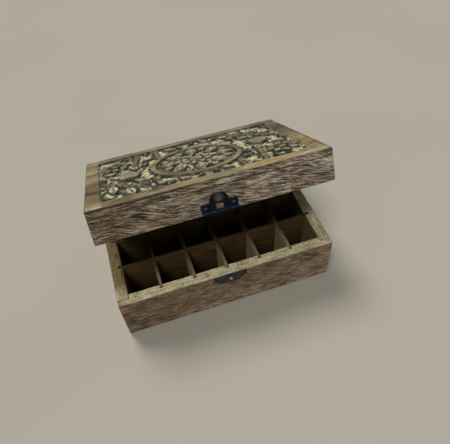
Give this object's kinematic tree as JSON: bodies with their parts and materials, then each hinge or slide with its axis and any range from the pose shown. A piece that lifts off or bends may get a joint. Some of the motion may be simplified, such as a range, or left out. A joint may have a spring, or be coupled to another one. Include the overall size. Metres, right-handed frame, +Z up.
{
  "type": "carved wooden bottle box",
  "caption": "Weathered wooden storage box with a carved, hinged lid standing part open over a grid of bottle compartments, shut by a flip hasp that drops over a stud",
  "frame": {"origin": "on the table under the middle of the base", "axes": "+X along the front to the right, +Y to the hinged back, +Z up"},
  "size_m": [0.22, 0.1775, 0.1558],
  "materials": {
    "weathered_board": "wire-brushed, worn and limewashed grain",
    "carved_board": "hand-carved, pale ground with dark rubbed grooves",
    "inner_wood": "plain sawn, stained dark",
    "blackened_steel": "blue-black, slightly worn",
    "stud_steel": "dark with a bright worn dome"
  },
  "bodies": {
    "base": {"base_front_wall": "weathered_board", "base_back_wall": "weathered_board", "base_left_wall": "weathered_board", "base_right_wall": "weathered_board", "base_floor": "inner_wood", "long_divider_1": "inner_wood", "long_divider_2": "inner_wood", "long_divider_3": "inner_wood", "cross_divider_1": "inner_wood", "cross_divider_2": "inner_wood", "cross_divider_3": "inner_wood", "cross_divider_4": "inner_wood", "cross_divider_5": "inner_wood", "catch_plate": "blackened_steel", "catch_nails": "blackened_steel", "left_hinge_base_leaf": "blackened_steel", "right_hinge_base_leaf": "blackened_steel", "left_hinge_pin": "blackened_steel", "right_hinge_pin": "blackened_steel", "hinge_base_nails": "blackened_steel", "catch_stud": "stud_steel"},
    "lid": {"lid_top": "carved_board", "lid_front_rail": "weathered_board", "lid_back_rail": "weathered_board", "lid_left_rail": "weathered_board", "lid_right_rail": "weathered_board", "left_hinge_lid_leaf": "blackened_steel", "right_hinge_lid_leaf": "blackened_steel", "hinge_lid_nails": "blackened_steel", "latch_plate": "blackened_steel", "latch_pin": "blackened_steel", "latch_nails": "blackened_steel"},
    "hasp": {"latch_hasp": "blackened_steel"}
  },
  "joints": [
    {"name": "lid_hinge", "type": "hinge", "parent": "base", "child": "lid", "pos_m": [0, 0.0812, 0.0552], "axis": [-1, 0, 0], "range_deg": [-26.8, 153.2]},
    {"name": "hasp_pivot", "type": "hinge", "parent": "lid", "child": "hasp", "pos_m": [0, -0.0625, 0.13003], "axis": [1, 0, 0], "range_deg": [0, 180]}
  ]
}
